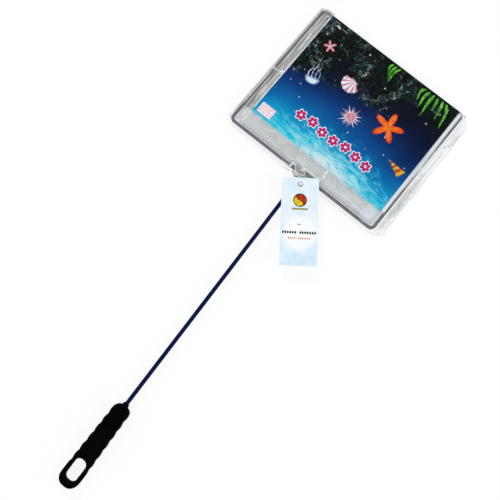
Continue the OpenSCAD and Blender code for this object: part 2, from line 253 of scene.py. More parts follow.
class Finish(Nodes):
    """A material. Its textures lie in the object's own space."""

    def __init__(self, name, roughness, metallic=0, sheen=0, specular=0.5):
        self.material = bpy.data.materials.new(name)
        self.material.use_nodes = True
        super().__init__(self.material.node_tree)
        self.shader = self.tree.nodes["Principled BSDF"]
        self.shader.inputs["Roughness"].default_value = roughness
        self.shader.inputs["Metallic"].default_value = metallic
        self.shader.inputs["Sheen Weight"].default_value = sheen
        self.shader.inputs["Specular IOR Level"].default_value = specular
        self.place = self.node("TexCoord").outputs

    def attribute(self, name):
        return self.node("Attribute", attribute_name=name).outputs["Fac"]

    def axes(self, output="Object"):
        """The three coordinates of a point, in metres, or of its normal."""
        return self.node("SeparateXYZ", {0: self.place[output]}).outputs

    def scaled(self, factors, turn=0):
        """The object's coordinates, turned about Z and stretched."""
        values = {"Vector": self.place["Object"], "Rotation": (0, 0, turn), "Scale": factors}
        return self.node("Mapping", values).outputs[0]

    def clouds(self, pitch, detail=3, rough=0.55, distortion=0, vector=None):
        """Soft noise whose spots lie about pitch millimetres apart."""
        values = {"Vector": vector or self.place["Object"], "Scale": 1/(pitch*MM)}
        values.update({"Detail": detail, "Roughness": rough, "Distortion": distortion})
        return self.node("TexNoise", values).outputs["Fac"]

    def waves(self, pitch, direction, distortion=0, vector=None):
        """Bands that lie pitch millimetres apart along X, Y or Z."""
        values = {"Vector": vector or self.place["Object"], "Scale": math.pi/(10*pitch*MM)}
        values["Distortion"] = distortion
        return self.node("TexWave", values, bands_direction=direction).outputs["Fac"]

    def colour(self, value):
        self.link(value, self.shader.inputs["Base Color"])

    def roughness(self, value, low, high):
        self.link(self.spread(value, 0, 1, low, high), self.shader.inputs["Roughness"])

    def bump(self, height, depth):
        """Relief with a depth in millimetres, on top of any relief added before."""
        bump = self.node("Bump", {"Height": height, "Strength": 1, "Distance": depth*MM})
        earlier = self.shader.inputs["Normal"]
        if earlier.is_linked:
            self.link(earlier.links[0].from_socket, bump.inputs["Normal"])
        self.link(bump.outputs[0], earlier)

    def see_through(self, share):
        """Lets the rest of the light through where share is below 1."""
        surface = self.blend(share, self.node("BsdfTransparent"), self.shader)
        self.link(surface, self.tree.nodes["Material Output"].inputs["Surface"])


def wire_finish():
    steel = Finish("galvanised_steel", 0.32, metallic=1)
    spots = steel.clouds(1.4)
    steel.colour(steel.ramp(spots, (0.3, (0.42, 0.43, 0.46)), (0.7, (0.66, 0.67, 0.7))))
    steel.roughness(spots, 0.25, 0.45)
    steel.bump(steel.clouds(0.25), 0.02)
    return steel.material


def sleeve_finish():
    vinyl = Finish("navy_vinyl", 0.3, specular=0.03)
    drawn = vinyl.clouds(6, vector=vinyl.scaled((1, 0.1, 1)))
    vinyl.colour(vinyl.ramp(drawn, (0.3, (0.0015, 0.006, 0.045)), (0.7, (0.002, 0.009, 0.07))))
    vinyl.roughness(drawn, 0.24, 0.36)
    vinyl.bump(drawn, 0.02)
    return vinyl.material


def grip_finish():
    rubber = Finish("black_rubber", 0.6, specular=0.015)
    dust = rubber.clouds(9, detail=4)
    rubber.colour(rubber.ramp(dust, (0.35, 0.0006), (0.75, 0.0018)))
    rubber.roughness(dust, 0.48, 0.72)
    rubber.bump(rubber.clouds(0.45, detail=2), 0.05)
    rubber.bump(rubber.clouds(3.5), 0.05)
    return rubber.material


def thread_ring_finish():
    """Grey-violet thread wound round the hem, with painted shade in the grooves between the turns."""
    thread = Finish("hem_thread", 0.75, sheen=0.1, specular=0.2)
    painted_groove_shade = thread.attribute("winding")
    worn = thread.clouds(6, detail=4)
    # The grooves between the turns are painted darker: painted shade
    tone = thread.ramp(painted_groove_shade, (0.15, (0.06, 0.057, 0.07)), (0.9, (0.18, 0.175, 0.2)))
    pale = thread.ramp(worn, (0.45, 0.0), (0.8, 0.4))
    thread.colour(thread.mix(pale, tone, (0.3, 0.28, 0.34)))
    thread.bump(thread.clouds(0.2), 0.03)
    return thread.material


def thread_finish():
    """White sewing thread, twisted."""
    thread = Finish("sewing_thread", 0.7, sheen=0.2)
    twist = thread.waves(0.5, "X", 2, thread.scaled((1, 1, 1), math.radians(35)))
    thread.colour(thread.ramp(twist, (0.2, (0.5, 0.5, 0.55)), (0.8, (0.8, 0.8, 0.84))))
    return thread.material


def weave_finish(name, low, high, pitch):
    """Plain woven cloth: two sets of yarns at right angles."""
    cloth = Finish(name, 0.85, sheen=0.3)
    yarns = cloth.math("MAXIMUM", cloth.waves(pitch, "X", 0.4), cloth.waves(pitch, "Y", 0.4))
    worn = cloth.mix(0.35, cloth.clouds(7, detail=4), yarns)
    cloth.colour(cloth.ramp(worn, (0.25, low), (0.75, high)))
    cloth.bump(yarns, 0.08)
    return cloth


def band_finish():
    """Thread over the outer edge, pale cloth, a grey seam, and the netting's own hem."""
    cloth = weave_finish("hem_cloth", (0.8, 0.8, 0.8), (1, 1, 1), 0.7)
    weave = cloth.shader.inputs["Base Color"].links[0].from_socket
    inset = cloth.attribute("inset")
    zones = cloth.ramp(
        inset, (0.48, (0.2, 0.19, 0.22)), (0.53, (0.84, 0.82, 0.88)), (0.66, (0.84, 0.82, 0.88)),
        (0.7, (0.36, 0.36, 0.39)), (0.75, (0.4, 0.4, 0.42)), (0.8, (0.6, 0.61, 0.61)),
    )
    cloth.colour(cloth.mix(1, zones, weave, "MULTIPLY"))
    return cloth.material


def netting_finish():
    """Fine knitted mesh: the holes let some light through."""
    net = weave_finish("netting", (0.68, 0.69, 0.68), (0.8, 0.81, 0.8), 1.1)
    diagonal = net.scaled((1, 1, 1), math.radians(45))
    holes = net.product(net.waves(1.1, "X", 0.6, diagonal), net.waves(1.1, "Y", 0.6, diagonal))
    net.see_through(net.ramp(holes, (0.35, 1.0), (0.8, 0.7)))
    return net.material


def film_finish():
    """Clear film with a gloss. Its attributes say how milky it is, and in what tone: its white and dark
    tones are painted highlights and painted shade as well as haze.
    """
    film = Finish("clear_film", 0.12, specular=1)
    facing = film.node("LayerWeight", {"Blend": 0.12}).outputs["Facing"]
    share = film.math("ADD", film.attribute("haze_and_painted_light"), film.product(facing, 0.08), clamp=True)
    # Pink and green blotches: painted iridescence, the colours that thin film reflects
    cloud = film.clouds(9, detail=4)
    painted_iridescence = film.mix(cloud, (1, 0.96, 0.95), (0.95, 1, 0.98))
    grey = film.ramp(
        film.attribute("tone"),
        (0.0, (0.05, 0.055, 0.035)), (0.3, (0.25, 0.245, 0.21)), (0.6, (0.6, 0.59, 0.57)),
        (0.85, (0.77, 0.83, 0.88)), (1.0, (0.94, 0.97, 1.0)),
    )
    film.colour(film.mix(1, grey, painted_iridescence, "MULTIPLY"))
    film.roughness(cloud, 0.08, 0.2)
    film.bump(film.clouds(4, detail=3), 0.06)
    film.see_through(share)
    return film.material


def card_finish():
    """A sea seen from below: dark at the far edge, bright at the near one, with a reef."""
    glow_x, glow_half_w, glow_half_d = 0.012, 0.085, 0.03
    card = Finish("printed_card", 0.35, specular=0.03)
    x, y = card.axes()[:2]
    depth = card.spread(y, CARD_LOW.y*MM, CARD_HIGH.y*MM)
    across = card.less(x, glow_x)
    near = card.less(y, CARD_LOW.y*MM)
    broken = card.product(card.less(card.clouds(38, detail=4), 0.5), 0.22)
    level = card.total(depth, card.product(across, across, 16), broken)
    water = card.ramp(
        level,
        (0.0, (0.02, 0.52, 0.66)), (0.1, (0.003, 0.4, 0.59)), (0.18, (0.001, 0.24, 0.47)),
        (0.27, (0.001, 0.12, 0.35)), (0.36, (0.001, 0.065, 0.24)), (0.46, (0.001, 0.028, 0.13)),
        (0.56, (0.001, 0.012, 0.065)), (0.68, (0.001, 0.004, 0.02)), (0.82, (0.001, 0.002, 0.006)),
        (1.0, (0.001, 0.002, 0.003)),
    )
    # Strokes of light, closer together and paler towards the middle of the near edge
    far_off = card.length(card.product(across, 1/glow_half_w), card.product(near, 1/glow_half_d))
    slanted = card.total(card.product(y, 2.8), card.product(x, 0.5))
    slanted = card.node("CombineXYZ", {"X": x, "Y": slanted}).outputs[0]
    strokes = card.clouds(9, detail=4, rough=0.6, distortion=0.8, vector=slanted)
    lit = card.ramp(card.total(strokes, card.product(far_off, -0.3), 0.3), (0.54, 0.0), (0.8, 1.0))
    glow = card.ramp(
        far_off, (0.15, (0.56, 0.73, 0.73)), (0.5, (0.2, 0.62, 0.72)), (1.0, (0.01, 0.44, 0.62)),
    )
    water = card.mix(lit, water, glow)
    # A reef of near black rock, with clumps of ragged pale growth
    clumps = card.ramp(card.clouds(16, detail=3), (0.52, 0.0), (0.6, 1.0))
    ragged = card.clouds(3, detail=5, rough=0.75, distortion=2.5)
    twigs = card.ramp(ragged, (0.55, 0.0), (0.59, 1.0))
    rock = card.clouds(5, detail=6, rough=0.7)
    dark = card.ramp(rock, (0.45, (0.001, 0.002, 0.002)), (0.72, (0.004, 0.016, 0.009)))
    pale = card.ramp(
        card.clouds(7, detail=2),
        (0.36, (0.02, 0.09, 0.04)), (0.46, (0.08, 0.2, 0.26)), (0.6, (0.5, 0.62, 0.58)),
    )
    reef = card.mix(card.product(clumps, twigs), dark, pale)
    place = card.product(card.less(card.clouds(30, detail=5), 0.5), 1.5)
    there = card.ramp(card.total(level, card.product(x, -2.0), place), (0.66, 0.0), (0.84, 0.95))
    water = card.mix(card.product(there, card.ramp(level, (0.45, 0.0), (0.55, 1.0))), water, reef)
    top = card.ramp(card.axes("Normal")[2], (0.5, 0.0), (0.6, 1.0))
    card.colour(card.mix(top, (0.62, 0.66, 0.68), water))
    card.bump(card.clouds(0.8), 0.01)
    return card.material


def ink_finish(name, low, high, pitch=3):
    """Printed ink that runs from one tone to another."""
    ink = Finish(name, 0.35, specular=0.04)
    ink.colour(ink.ramp(ink.clouds(pitch, detail=5), (0.38, low), (0.62, high)))
    return ink.material


def ruled_finish():
    """White paper with rows of broken pink rules."""
    paper = Finish("ruled_paper", 0.7)
    rows = paper.ramp(paper.waves(2.3, "Y"), (0.55, 0.0), (0.7, 1.0))
    broken = paper.ramp(paper.clouds(0.9, detail=1), (0.42, 0.0), (0.5, 1.0))
    paper.colour(paper.mix(paper.product(rows, broken), (0.82, 0.78, 0.82), (0.68, 0.16, 0.22)))
    paper.bump(paper.clouds(0.6), 0.02)
    return paper.material


def tag_finish():
    """Pale blue card, faintly mottled, with a soft white patch in its lower half."""
    patch_s, patch_r = 41, 16
    card = Finish("tag_card", 0.45, specular=0.3)
    mottled = card.clouds(9, detail=5)
    blue = card.ramp(mottled, (0.35, (0.66, 0.77, 0.86)), (0.65, (0.78, 0.85, 0.9)))
    deep = card.ramp(mottled, (0.35, (0.55, 0.72, 0.85)), (0.65, (0.7, 0.82, 0.91)))
    middle = (POST + patch_s*TAG_Y)*MM
    x, y = card.axes()[:2]
    across = card.less(x, middle.x)
    along = card.less(y, middle.y)
    past = card.total(card.product(across, TAG_Y.x), card.product(along, TAG_Y.y))
    beyond = card.ramp(card.product(past, 1/(patch_r*MM)), (0.0, 0.0), (1.0, 1.0))
    blue = card.mix(beyond, blue, deep)
    ragged = card.product(card.less(card.clouds(14), 0.5), 0.6)
    far = card.total(card.math("DIVIDE", card.length(across, along), patch_r*MM), ragged)
    white = card.ramp(far, (0.72, 1.0), (1.05, 0.0))
    card.colour(card.mix(white, blue, (0.88, 0.89, 0.9)))
    card.bump(card.clouds(0.5), 0.02)
    return card.material


def plastic_finish(name, low, high, roughness=0.3):
    plastic = Finish(name, roughness)
    plastic.colour(plastic.ramp(plastic.clouds(1.5), (0.3, low), (0.7, high)))
    plastic.bump(plastic.clouds(0.4), 0.02)
    return plastic.material


# Meshes

def make_piece(name, points, faces, *materials):
    """A smooth mesh from points in millimetres."""
    mesh = bpy.data.meshes.new(name)
    mesh.from_pydata([Vector(p)*MM for p in points], [], [tuple(int(i) for i in f) for f in faces])
    for material in materials:
        mesh.materials.append(material)
    mesh.shade_smooth()
    mesh.update()
    return add_object(name, mesh)


def place_piece(piece, body, slot, *nodes):
    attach(piece, body)
    if nodes:
        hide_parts(*nodes)
    return piece


def thicken(piece, thickness):
    modifier = piece.modifiers.new("thickness", "SOLIDIFY")
    modifier.thickness = thickness*MM
    modifier.offset = 0


def add_values(piece, name, values):
    """Gives each point a value, which a finish reads by name."""
    attribute = piece.data.attributes.new(name, "FLOAT", "POINT")
    attribute.data.foreach_set("value", values)


def rough_at(x, y, z, pitch):
    """Smooth noise from about -1 to 1, whose spots lie about pitch apart."""
    return noise.noise(Vector((x, y, z))/pitch)


def cell(k, i, wide, count=None):
    """A face of a grid with wide points in a row. Rows and columns go on from their ends to their
    starts where count, the number of rows, is given."""
    after, beside = (k + 1, i + 1) if count is None else ((k + 1) % count, (i + 1) % wide)
    return k*wide + i, k*wide + beside, after*wide + beside, after*wide + i


def ring_faces(rings, sides, capped=False, looped=False):
    """Faces that join rings of points, each with the next, and the last with the first if looped."""
    spans = rings if looped else rings - 1
    faces = [cell(k, i, sides, rings) for k in range(spans) for i in range(sides)]
    if capped:
        faces += [tuple(range(sides - 1, -1, -1)), tuple(range((rings - 1)*sides, rings*sides))]
    return faces


def shifted(faces, first):
    """Faces whose points start at a place in a longer list."""
    return [tuple(first + i for i in face) for face in faces]


def ring(count):
    """Cosine and sine of evenly spaced directions round a circle."""
    return [(math.cos(2*math.pi*i/count), math.sin(2*math.pi*i/count)) for i in range(count)]


def quarter_turn(count):
    """A rotation about Z by a number of right angles."""
    return Matrix.Rotation(count*math.pi/2, 3, "Z")


def hoop_point(inset, run):
    """A point on the hoop's outline, drawn inwards by inset. run goes from 0 to 4, one a side,
    anticlockwise from the near left corner. Also gives the outward direction."""
    side = int(run) % 4
    half, reach = (HALF_W, HALF_D) if side % 2 == 0 else (HALF_D, HALF_W)
    radius = max(BEND_R + HEM_R - inset, 1)
    straight = 2*(half - inset - radius)
    length = (run - int(run))*(straight + math.pi/2*radius)
    angle = max(length - straight, 0)/radius
    outward = Vector((math.sin(angle), -math.cos(angle), 0))
    middle = Vector((min(length, straight) - straight/2, radius + inset - reach, 0))
    turn = quarter_turn(side)
    return turn @ (middle + radius*outward), turn @ outward


def make_print(name, figures, low, place, inks):
    """Thin plates of ink as one piece. A figure is an outline, a thickness and an ink's number."""
    points, faces, slots = [], [], []
    for outline, thickness, ink in figures:
        plate = ring_faces(2, len(outline), capped=True)
        faces += shifted(plate, len(points))
        slots += [ink]*len(plate)
        points += [place(x, y, z) for z in (low, low + thickness) for x, y in outline]
    piece = make_piece(name, points, faces, *inks)
    piece.data.polygons.foreach_set("material_index", slots)
    piece.data.shade_flat()
    return piece


# Hem, stitches and netting

def make_tube():
    """A cloth tube wound with thread, from one side of the handle's gap round to the other."""
    pitch, sides, depth, ring_step, unevenness = 1.15, 16, 0.12, 0.29, 0.03
    straight = HALF_W - HEM_R - BEND_R
    side_run = 2*straight + math.pi/2*BEND_R
    start = (straight + FOOT.x + HEM_GAP/2)/side_run
    end = 4 + (straight + FOOT.x - HEM_GAP/2)/side_run
    perimeter = 4*(HALF_W + HALF_D - 2*HEM_R) - (8 - 2*math.pi)*BEND_R
    rings = int((perimeter - HEM_GAP)/ring_step)
    points, winding, run = [], [], 0
    before = None
    for k in range(rings):
        place, outward = hoop_point(HEM_R, start + (end - start)*k/(rings - 1))
        run += (place - before).length if before else 0
        before = place
        for i, (cos, sin) in enumerate(ring(sides)):
            turn = abs(math.sin(math.pi*(run/pitch - i/sides)))
            reach = HEM_R - depth*(1 - turn) + unevenness*rough_at(place.x, place.y, i, 5)
            points.append(place + reach*cos*outward + Vector((0, 0, AXIS_Z + reach*sin)))
            winding.append(turn)
    faces = ring_faces(rings, sides, capped=True)
    tube = make_piece("hem_tube", points, faces, thread_ring_finish())
    # The winding value also paints shade into the grooves between the turns, in the thread's finish
    add_values(tube, "winding", winding)
    return place_piece(tube, "net", "hem", "hem_binding")


def make_band():
    """The flat band inside the tube, with its inner edge turned over."""
    steps, waviness = 420, 0.06
    section = [(1.7, 0.0), (2.6, 0.24), (4.2, 0.2), (5.0, 0.3), (5.5, 0.28), (BAND_END, 0.0)]
    section += [(5.5, -0.28), (5.0, -0.3), (4.2, -0.2), (2.6, -0.24)]
    points, insets = [], []
    for k in range(steps):
        for inset, z in section:
            place = hoop_point(inset, 4*k/steps)[0]
            wave = waviness*rough_at(place.x, place.y, 3, 4)
            points.append(place + Vector((0, 0, AXIS_Z + z + wave)))
            insets.append(inset/BAND_END)
    faces = ring_faces(steps, len(section), looped=True)
    band = make_piece("hem_band", points, faces, band_finish())
    add_values(band, "inset", insets)
    return place_piece(band, "net", "hem")


def make_stitches():
    """Loops of thread that dip into the band at both ends."""
    pitch, length, inset = 5, 2.6, 4.4
    radius, flatness, above, dip = 0.22, 0.6, 0.02, 0.22
    sides, rings = 8, 7
    points, faces = [], []
    for side in range(4):
        half, row = (HALF_W, HALF_D) if side % 2 == 0 else (HALF_D, HALF_W)
        count = int((2*(half - inset) - 2*BEND_R - length)/pitch)
        turn = quarter_turn(side)
        for n in range(count + 1):
            middle = (n - count/2)*pitch
            faces += shifted(ring_faces(rings, sides, capped=True), len(points))
            for k in range(rings):
                share = 2*k/(rings - 1) - 1
                thick = radius*math.sqrt(max(0.05, 1 - share**4))
                height = BAND_TOP + above - dip*share**2
                for cos, sin in ring(sides):
                    aside, up = inset - row + thick*cos, height + flatness*thick*sin
                    points.append(turn @ Vector((middle + share*length/2, aside, up)))
    piece = make_piece("hem_stitches", points, faces, thread_finish())
    return place_piece(piece, "net", "thread", "hem_stitching")


def make_netting():
    """The pouch, sewn to the band and folded flat in three layers under the hoop."""
    steps, outermost, lowest = 260, 3.3, 0.62
    # Each row is an inset from the hoop's outside, a height, and how far a fold wanders
    rows = [
        (5.0, 5.62, 0), (4.1, 5.2, 0), (3.6, 4.0, 0.1), (3.4, 2.4, 0.1), (3.8, 1.2, 0.1),
        (5.5, 0.85, 0.2), (8, 0.8, 0.3), (12, 0.8, 0.3), (20, 0.8, 0.3), (30, 0.8, 0.3),
        (42, 0.8, 0.3), (52, 0.95, 0.5), (53, 1.4, 0.5), (51, 1.7, 0.5), (40, 1.9, 0.3),
        (28, 2.0, 0.4), (16, 2.1, 0.5), (9, 2.2, 0.4), (6, 2.5, 0.3), (4.6, 3.2, 0.1),
        (4.4, 4.1, 0.1), (5.2, 4.8, 0.1), (6.4, 5.1, 0.2), (8, 5.2, 0.3), (10, 5.2, 0.4),
        (12, 5.2, 0.5), (14.5, 5.2, 0.5), (17, 5.1, 0.5), (20, 5.0, 0.5), (26, 4.9, 0.5),
        (36, 4.8, 0.4), (48, 4.8, 0.4), (57, 4.8, 0.2), (62, 4.8, 0),
    ]
    points = []
    for n, (inset, height, wander) in enumerate(rows):
        for k in range(steps):
            run = 4*k/steps
            guide = hoop_point(inset, run)[0]
            drift = wander*rough_at(guide.x*0.55, guide.y*0.55, 7, 9)
            place = hoop_point(max(inset + drift, outermost), run)[0]
            loose = min(1, wander + 0.2)
            ripple = 0.35*loose*rough_at(place.x, place.y, n*0.8, 6)
            ripple += 0.16*loose*rough_at(place.x, place.y, n*0.8 + 9, 2.2)
            points.append((place.x, place.y, min(max(height + ripple, lowest), BAND_TOP - BAND_T)))
    # The last ring is closed by one face, and the first stays open: it is sewn to the band
    faces = ring_faces(len(rows), steps)
    faces.append(tuple(range((len(rows) - 1)*steps, len(points))))
    piece = make_piece("netting", points, faces, netting_finish())
    return place_piece(piece, "net", "netting", "net_pouch")


# The clear bag

# Creases of the front film, over the whole of it: the points that each runs through, its half
# width, its height, how milky it is and its tone, from 0, dark, to 1, white. Pale tones are the
# film's own haze with painted highlights along the folds, and dark tones painted shade in them
CREASES = [
    # Left strip
    (((-79.5, -9), (-75, -6), (-70, -5), (-66, -3)), 0.9, 0.5, 0.75, 0.8),
    (((-78.6, -2), (-75.5, -4)), 0.6, 0.3, 0.6, 0.75),
    # A painted highlight along the top of the hem, seen through the film
    (((-75, -46), (-75.1, -26), (-74.9, -9)), 0.3, 0.1, 0.8, 0.75),
    (((-73.3, -54), (-73.2, -30), (-73.4, -9)), 0.3, 0.1, 0.6, 0.15),
    (((-71.9, -50), (-71.3, -12)), 0.3, 0.05, 0.5, 0.25),
    (((-70.3, 2), (-69.8, 40)), 0.35, 0.05, 0.5, 0.3),
    (((-72.8, 6), (-72.6, 58)), 0.35, 0.05, 0.5, 0.86),
    (((-68.2, 54), (-68.6, 18)), 0.3, 0.05, 0.45, 0.25),
    # A painted highlight along the card's left edge
    (((-66.1, -44), (-65.9, 0), (-66, 60)), 0.35, 0.03, 0.65, 0.95),
    # Near band
    (((-62, -55.5), (-35, -58.3), (-12, -59.3)), 0.5, 0.2, 0.4, 0.85),
    (((-62, -61), (-20, -61.2), (-12, -60.6)), 0.35, 0.1, 0.4, 0.4),
    (((-52, -65.4), (-30, -65.5), (-12, -65.4)), 0.35, 0, 0.5, 0.6),
    (((24, -61.2), (50, -61), (68, -60.8)), 0.35, 0.1, 0.4, 0.4),
    (((27, -59), (33, -57.3), (44, -56.6), (60, -58.4)), 0.8, 0.3, 0.4, 0.9),
    (((22, -49), (27, -52), (29, -56)), 0.7, 0.3, 0.4, 0.86),
    (((-40, -49), (-44, -54)), 0.5, 0.2, 0.3, 0.8),
    (((-20, -49.5), (-26, -56)), 0.5, 0.2, 0.3, 0.45),
    # Two painted highlights: small white marks on the film
    (((16.2, -49.6), (16.4, -51)), 0.85, 0.4, 0.97, 1),
    (((16.4, -53.4), (17.2, -54.9)), 0.85, 0.4, 0.97, 1),
    # Right strip and flap
    (((74, 3), (77, 1), (80.5, 2)), 0.7, 0.3, 0.55, 0.9),
    (((77.8, 64), (77.6, 0), (77.8, -62)), 0.3, 0, 0.4, 0.45),
    (((81, 28), (81.1, 12), (80, -2), (79.8, -16)), 0.5, 0.3, 0.5, 0.5),
    (((79.6, 57), (79.2, 50), (78.4, 40)), 0.5, 0.3, 0.3, 0.6),
    (((81.6, -4), (80.6, -26), (81.8, -44)), 0.7, 0.4, 0.3, 0.55),
    (((78.8, -36), (80.4, -46), (79.6, -58)), 0.5, 0.5, 0.4, 0.5),
    (((80, 33.6), (81.4, 36.4)), 0.45, 0.1, 0.95, 0.02),
    # Painted glints over the card: white marks on the film where a lamp would be reflected
    (((-56, 59.1), (-53.4, 58.1)), 0.6, 0.2, 0.95, 1),
    (((-60.2, 61.2), (-56, 61.5)), 0.35, 0.1, 0.3, 0.9),
    (((-51.2, 59.1), (-46.7, 58.9)), 0.35, 0.1, 0.25, 0.9),
]
# Left of this X and past this Y the film over the card has a finer mesh, for its glints
GLINTS_X, GLINTS_Y = -45, 52
# Folds round the gathered mouth, in the same form. The white ones are painted highlights on the
# folds, and the dark ones and the small dark spots painted shade
MOUTH_FOLDS = [
    (((-10.6, -64.7), (-10.1, -61), (-7.6, -61.4)), 0.45, 0.3, 0.95, 0.97),
    (((-7.6, -61.4), (-6.9, -62.8), (-4.3, -65.3), (-3.1, -68.1)), 0.4, 0.3, 0.8, 0.85),
    (((-6.4, -61.6), (-4, -62.8), (-1.8, -64.6)), 0.4, 0, 0.6, 0.2),
    (((-9, -56), (-3.6, -57.4), (-0.2, -58.8)), 1.1, 0.4, 0.5, 0.85),
    (((-0.2, -59.2), (5, -58.4), (11.4, -58.8), (17, -57)), 0.6, 0.4, 0.85, 0.97),
    (((-1.1, -61.8), (0, -59.6)), 0.45, 0.2, 0.8, 0.97),
    (((0, -59.6), (2, -61.6), (4.2, -63.2)), 0.4, 0.2, 0.8, 0.9),
    (((4.8, -62.9), (3.4, -65.2), (1, -67.4)), 0.35, 0.2, 0.7, 0.25),
    (((-0.8, -68.4), (0.4, -67.8)), 0.6, 0, 0.95, 0),
    (((2, -66.2), (2.8, -65.6)), 0.5, 0, 0.95, 0),
    (((10, -61.2), (11.2, -60.5)), 0.5, 0, 0.9, 0),
]
# Facets of crushed film round the gathered mouth: the corners, how milky each is and its tone.
# Their tones paint the facets lit or shaded, the darkest ones as painted shade
MOUTH_FACETS = [
    (((-19, -64.6), (-10.4, -64.4), (-9.6, -66.2), (-14, -65.7)), 0.6, 0.62),
    (((-8.8, -60.5), (-4.4, -57.8), (0.4, -60.2), (-0.9, -62.4), (-3, -66.4), (-7, -62.4)), 0.75, 0.42),
    (((-9.9, -65.6), (-5.4, -65.9), (-7.2, -61.8), (-8.9, -61.8)), 0.94, 0.06),
    (((-1, -65.7), (3, -63.2), (4.6, -65.3), (0.2, -69), (-3, -68)), 0.7, 0.5),
    (((2.4, -60), (12, -60.4), (6.4, -64), (3, -61.9)), 0.88, 0.12),
    (((4.8, -63.2), (8, -67), (14, -62.4), (12, -60.8)), 0.75, 0.5),
]
# Milky patches of the front film: the middle, the half width along X and Y, how milky and the tone
PATCHES = [
    ((81, -30), (4.8, 36), 0.75, 0.75),
    ((74.9, 6), (2.6, 29), 0.5, 0.92),
    ((82.6, 44), (2.6, 10), 0.6, 0.7),
    ((71, 7), (2.4, 17), 0.55, 0.5),
    ((-30, -57), (34, 6), 0.2, 0.62),
    ((46, -56), (22, 7), 0.3, 0.78),
    ((65, -55), (8.6, 10), 0.6, 0.9),
]
# The part of the front film that is crushed where the mouth is gathered
CRUSHED_X = (-10.3, 14)
CRUSHED_Y = -60.6


def window(values, low, high, soft):
    """1 from low to high, and down to 0 over a soft margin outside them."""
    return np.clip(1 + (values - low)/soft, 0, 1)*np.clip(1 + (high - values)/soft, 0, 1)


def roughness_of(places, pitch_x, pitch_y, seed):
    """Smooth noise from about -1 to 1, whose spots have a length along X and one along Y."""
    return np.array([noise.noise((x/pitch_x, y/pitch_y, seed)) for x, y in places])


def inset_of(places):
    """Distance from the hoop's outside, inwards positive."""
    radius = BEND_R + HEM_R
    gaps = np.abs(places) - (HALF_W - radius, HALF_D - radius)
    outside = np.linalg.norm(np.maximum(gaps, 0), axis=1) + np.minimum(gaps.max(axis=1), 0)
    return radius - outside


def card_gap_of(places, play=(0, 0)):
    """Distance from the card, 0 over it, or from all that it covers as it shifts along Y."""
    low = np.array((CARD_LOW.x, CARD_LOW.y + play[0]))
    high = np.array((CARD_HIGH.x, CARD_HIGH.y + play[1]))
    return np.linalg.norm(np.maximum(np.maximum(low - places, places - high), 0), axis=1)


def smooth_max(a, b, blend=0.35):
    share = np.clip(0.5 + 0.5*(a - b)/blend, 0, 1)
    return b + (a - b)*share + blend*share*(1 - share)


def facets_of(places, pitch, seed):
    """Flat facets, as in crushed film: height and tone of each place, the tone painting a facet lit or
    shaded, and how near a crest it is.
    """
    tilt_seed, tone_seed, crest_width = 7.3, 5.1, 0.14
    height, tone, crest = np.zeros((3, len(places)))
    for n, place in enumerate(places):
        spot = Vector((*place, 0)[:3])/pitch + Vector((seed, 0, 0))
        gaps, middles = noise.voronoi(spot)
        tilt = noise.cell_vector(middles[0]*tilt_seed)
        height[n] = (spot - middles[0]).dot(tilt)
        tone[n] = 0.5 + 0.5*noise.cell(middles[0]*tone_seed)
        crest[n] = math.exp(-((gaps[1] - gaps[0])/crest_width)**2)
    return height, tone, crest


class Veil:
    """How milky a film is at each of many places, and its tone there. Layers of white or dark tone also
    paint highlights and shade.
    """

    def __init__(self, count):
        self.haze_and_painted_light = np.zeros(count)
        self.tone = np.full(count, 0.6)

    def cover(self, share, tone):
        """Lays another layer over the film: haze, a painted highlight or painted shade."""
        total = share + self.haze_and_painted_light*(1 - share)
        below = self.tone*self.haze_and_painted_light*(1 - share)
        self.tone = (tone*share + below)/np.maximum(total, 1e-6)
        self.haze_and_painted_light = total

    def store(self, piece):
        """Writes both as attributes. Light crosses two faces of a sheet, and each takes its share."""
        add_values(piece, "haze_and_painted_light", 1 - np.sqrt(1 - np.clip(self.haze_and_painted_light, 0, 0.97)))
        add_values(piece, "tone", np.clip(self.tone, 0, 1))


def nearness_of(places, route, width):
    """1 on a route through some points, and less away from it."""
    nearest = np.full(len(places), np.inf)
    for start, end in zip(np.array(route[:-1], float), np.array(route[1:], float)):
        run = end - start
        share = np.clip((places - start) @ run/(run @ run), 0, 1)
        nearest = np.minimum(nearest, np.linalg.norm(places - start - share[:, None]*run, axis=1))
    return np.exp(-(nearest/width)**2)


def inside_of(places, corners, soft):
    """1 inside a convex outline and 0 outside it, with a soft edge."""
    starts = np.array(corners, float)
    ends = np.roll(starts, -1, axis=0)
    turn = np.sign(np.sum(starts[:, 0]*ends[:, 1] - starts[:, 1]*ends[:, 0]))
    depth = np.full(len(places), np.inf)
    for start, end in zip(starts, ends):
        run = (end - start)/np.linalg.norm(end - start)
        side = run[0]*(places[:, 1] - start[1]) - run[1]*(places[:, 0] - start[0])
        depth = np.minimum(depth, turn*side)
    return np.clip(0.5 + depth/soft, 0, 1)


def cover_folds(places, veil, folds):
    """Folds in the form of CREASES. Gives their height."""
    height = np.zeros(len(places))
    for route, width, rise, share, tone in folds:
        crest = nearness_of(places, route, width)
        height += rise*crest
        veil.cover(share*crest, tone)
    return height


def cover_mouth(places, veil):
    """The facets and the folds round the gathered mouth, with their painted light and shade. Gives the
    height of the folds.
    """
    for corners, share, tone in MOUTH_FACETS:
        veil.cover(share*inside_of(places, corners, 0.5), tone)
    return cover_folds(places, veil, MOUTH_FOLDS)


def flap_edge(y):
    """X of the loose flap's outer edge, which is a little uneven and has a slanted far corner."""
    inset, unevenness, corner_y, slant = 0.6, 0.9, 58, 0.8
    wander = unevenness*rough_at(y, 0, 2, 21)
    return BAG_HIGH.x - inset - wander - slant*max(y - corner_y, 0)


